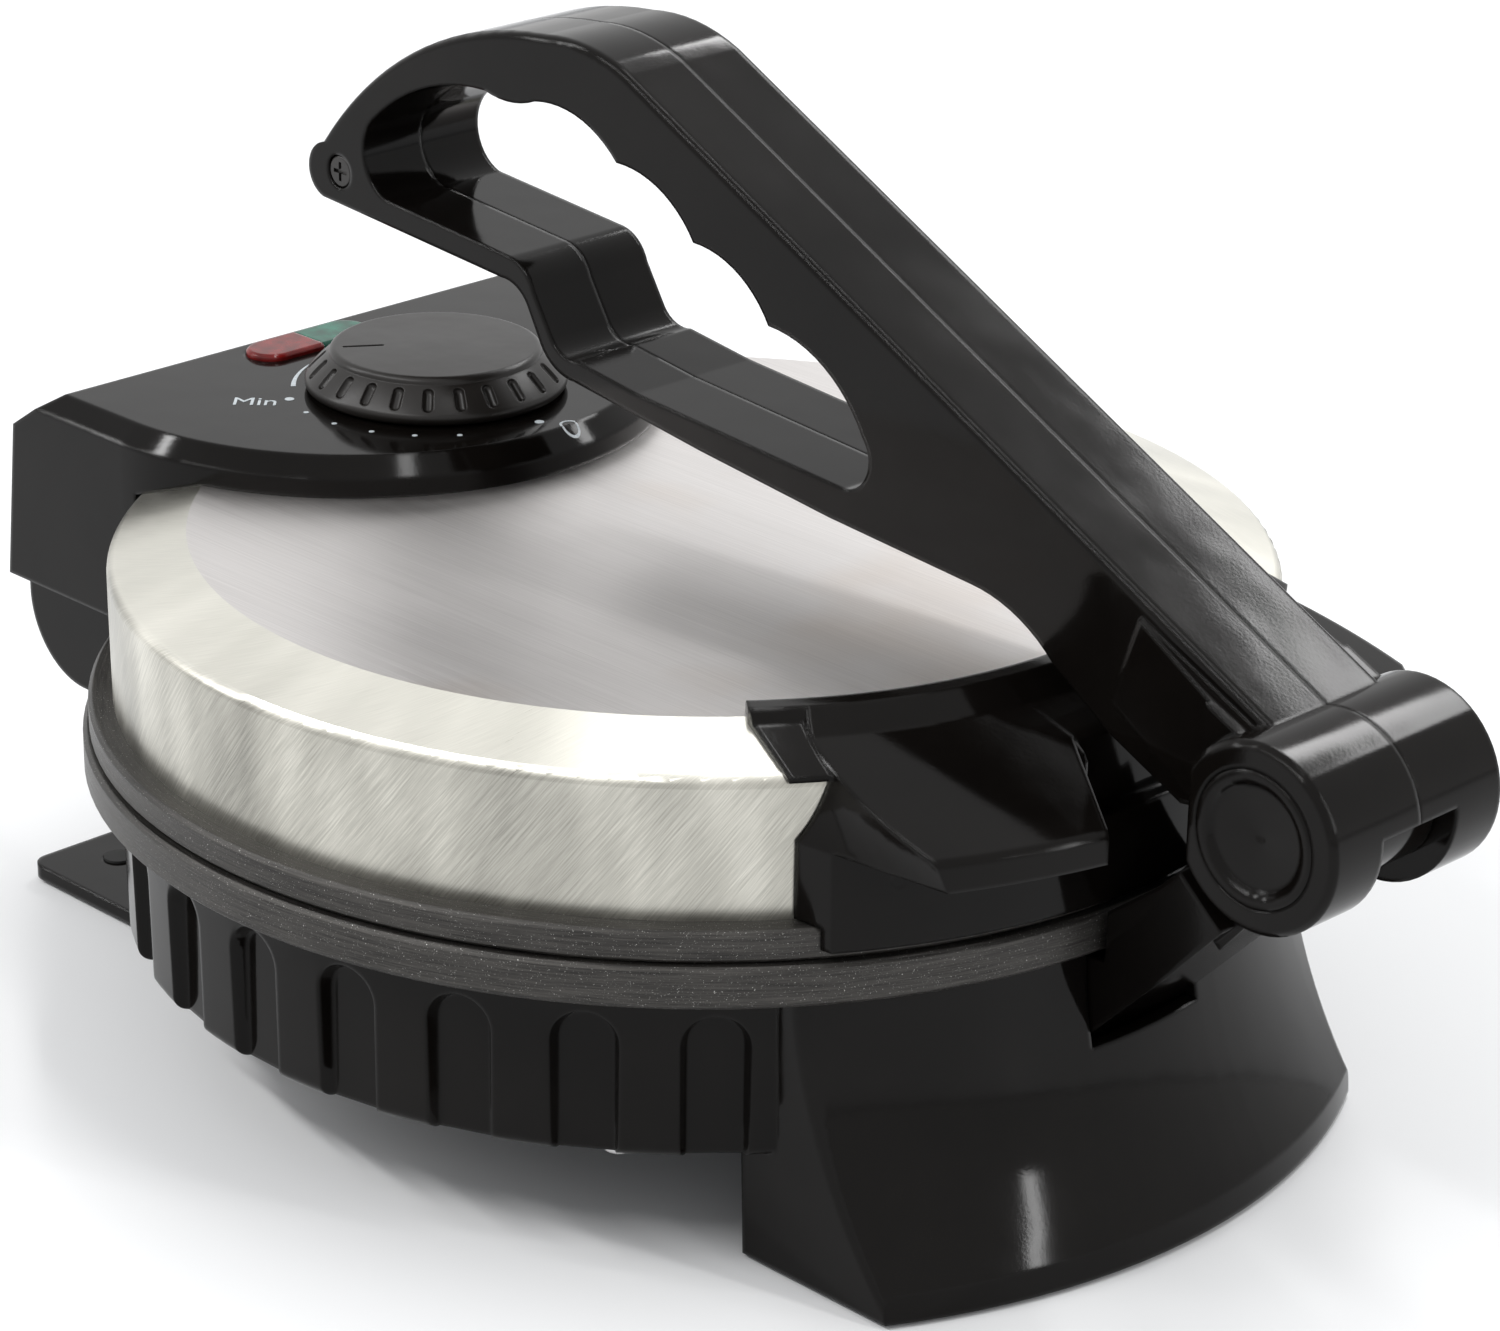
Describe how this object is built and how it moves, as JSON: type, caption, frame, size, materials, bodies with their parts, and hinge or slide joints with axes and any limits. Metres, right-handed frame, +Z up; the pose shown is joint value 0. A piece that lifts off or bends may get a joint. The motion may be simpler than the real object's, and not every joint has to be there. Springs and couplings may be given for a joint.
{
  "type": "electric roti maker",
  "caption": "Countertop flatbread press with round heated plates, a steel lid with rear control box and dial, and a long press lever on a front arm.",
  "frame": {"origin": "middle of the footprint, on the surface the feet stand on; the axis of the cooking plates is 13.95 mm behind it, at x -0.01395", "axes": "+Z up, +X to the front where the press lever pivots, +Y to the side"},
  "size_m": [0.3208, 0.2352, 0.1953],
  "materials": {
    "black_gloss": "glossy moulded",
    "knob_black": "fine satin moulded",
    "steel_cover": "brushed rim, polished centre",
    "cast_plate": "turned cast aluminium, dark non-stick coated",
    "zinc_steel": "zinc plated",
    "heater_steel": "satin",
    "black_screw": "blackened",
    "reflector_tin": "bright",
    "cast_bracket": "satin",
    "bush_brass": "plain",
    "rubber_black": "matt",
    "insulation_felt": "felted",
    "ceramic_white": "matt",
    "fuse_metal": "satin",
    "wire_sleeve": "matt braid",
    "lens_red": "clear tinted",
    "lens_green": "clear tinted",
    "lamp_glass": "clear"
  },
  "bodies": {
    "base": {"base_housing": "black_gloss", "base_cover": "black_gloss", "cover_screws": "zinc_steel", "foot_cover": "black_gloss", "foot_screws": "zinc_steel", "rubber_feet": "rubber_black", "lower_plate": "cast_plate", "lower_heater": "heater_steel", "lower_clips": "zinc_steel", "lower_clip_screws": "zinc_steel", "lower_posts": "zinc_steel", "post_nuts": "zinc_steel", "lower_reflector": "reflector_tin", "thermal_fuse": "fuse_metal", "fuse_clip": "zinc_steel", "terminal_block": "ceramic_white", "base_wiring": "wire_sleeve", "cord_gland": "rubber_black", "press_arm": "black_gloss", "arm_bush": "bush_brass", "arm_bolts": "zinc_steel", "arm_nuts": "zinc_steel", "hinge_bracket": "cast_bracket", "bracket_bolts": "zinc_steel", "bracket_nuts": "zinc_steel", "hinge_pin": "zinc_steel"},
    "lid": {"lid_shell": "steel_cover", "upper_plate": "cast_plate", "upper_heater": "heater_steel", "upper_clips": "zinc_steel", "upper_clip_screws": "zinc_steel", "lid_posts": "zinc_steel", "lid_nuts": "zinc_steel", "upper_reflector": "reflector_tin", "lid_insulation": "insulation_felt", "control_box": "black_gloss", "hinge_cover": "black_gloss", "hinge_screws": "zinc_steel", "box_screws": "zinc_steel", "red_lens": "lens_red", "green_lens": "lens_green", "lamps": "lamp_glass", "lamp_holder": "ceramic_white", "thermostat": "ceramic_white", "thermostat_nut": "zinc_steel", "lid_wiring": "wire_sleeve", "lid_bracket": "black_gloss", "bracket_screws": "zinc_steel"},
    "lever": {"lever_near": "black_gloss", "lever_far": "black_gloss", "lever_screws": "black_screw", "pivot_pin": "zinc_steel", "pivot_nut": "zinc_steel", "near_cap": "black_gloss", "far_cap": "black_gloss"},
    "knob": {"knob": "knob_black", "knob_spindle": "zinc_steel"}
  },
  "joints": [
    {"name": "lid_hinge", "type": "hinge", "parent": "base", "child": "lid", "pos_m": [-0.14295, 0, 0.0596], "axis": [0, -1, 0], "range_deg": [0, 35]},
    {"name": "press_lever", "type": "hinge", "parent": "base", "child": "lever", "pos_m": [0.14315, 0, 0.0953], "axis": [0, 1, 0], "range_deg": [0, 97]},
    {"name": "knob_turn", "type": "hinge", "parent": "lid", "child": "knob", "pos_m": [-0.08895, 0, 0.1112], "axis": [0, 0, 1], "range_deg": [0, 127]}
  ],
  "couplings": [
    {"joint": "press_lever", "follows": "lid_hinge", "ratio": 2.75}
  ]
}
